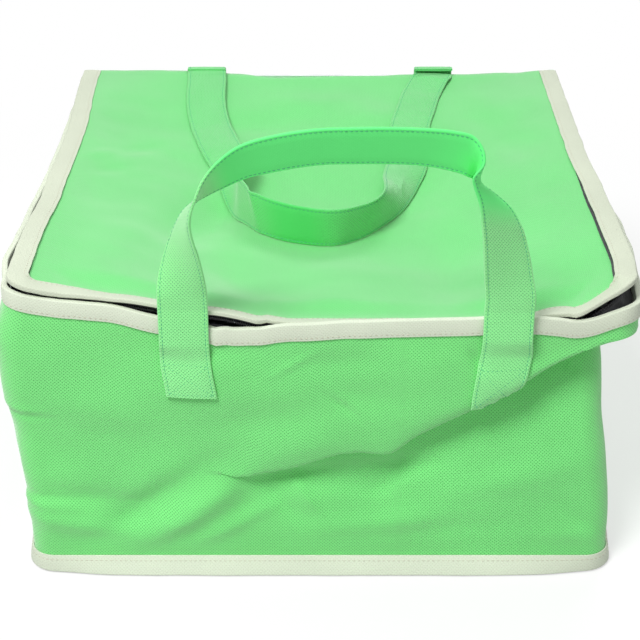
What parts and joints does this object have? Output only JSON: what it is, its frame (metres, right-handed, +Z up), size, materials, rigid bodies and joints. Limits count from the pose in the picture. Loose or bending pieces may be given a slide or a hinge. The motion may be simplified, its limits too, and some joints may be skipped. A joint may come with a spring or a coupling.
{
  "type": "insulated food delivery bag",
  "caption": "Square soft insulated carrying bag with a zipped flap lid hinged at the back, bound seams and two strap handles",
  "frame": {"origin": "middle of the flat underside of the bottom panel", "axes": "+X to the bag's right seen from the front, +Y from the front to the hinged back edge of the lid, +Z up"},
  "size_m": [0.3668, 0.4039, 0.2999],
  "materials": {
    "green_fabric": "embossed matt",
    "strap_fabric": "embossed matt",
    "cream_binding": "embossed matt",
    "foil_foam": "foil",
    "black_tape": "woven matt",
    "black_coil": "satin",
    "black_metal": "satin"
  },
  "bodies": {
    "bag": {"wall_band": "green_fabric", "back_panel": "green_fabric", "bottom_panel": "green_fabric", "front_liner": "foil_foam", "left_liner": "foil_foam", "right_liner": "foil_foam", "back_liner": "foil_foam", "bottom_liner": "foil_foam", "rim_binding": "cream_binding", "bottom_binding": "cream_binding", "back_left_binding": "cream_binding", "back_right_binding": "cream_binding", "rim_zip_tape": "black_tape", "rim_zip_coil": "black_coil", "front_handle_left_end": "strap_fabric", "front_handle_right_end": "strap_fabric", "back_handle_left_end": "strap_fabric", "back_handle_right_end": "strap_fabric"},
    "lid": {"lid_panel": "green_fabric", "lid_liner": "foil_foam", "lid_binding": "cream_binding", "lid_zip_tape": "black_tape", "lid_zip_coil": "black_coil"},
    "front_handle": {"front_handle": "strap_fabric"},
    "back_handle": {"back_handle": "strap_fabric"},
    "zip_slider": {"zip_slider": "black_metal"},
    "zip_pull": {"zip_pull": "black_metal"}
  },
  "joints": [
    {"name": "lid_open", "type": "hinge", "parent": "bag", "child": "lid", "pos_m": [0, 0.1785, 0.1936], "axis": [-1, 0, 0], "range_deg": [0, 175]},
    {"name": "front_handle_swing", "type": "hinge", "parent": "bag", "child": "front_handle", "pos_m": [0.0145, -0.189, 0.183], "axis": [1, 0, 0], "range_deg": [-50, 150]},
    {"name": "back_handle_swing", "type": "hinge", "parent": "lid", "child": "back_handle", "pos_m": [0, 0.1738, 0.1959], "axis": [-1, 0, 0], "range_deg": [0, 85]},
    {"name": "zip_slide", "type": "slide", "parent": "bag", "child": "zip_slider", "axis": [0, -1, 0], "range_m": [0, 0.27]},
    {"name": "zip_pull_swing", "type": "hinge", "parent": "zip_slider", "child": "zip_pull", "pos_m": [0.1747, 0.153, 0.18595], "axis": [0, 0, 1], "range_deg": [0, 165]}
  ]
}
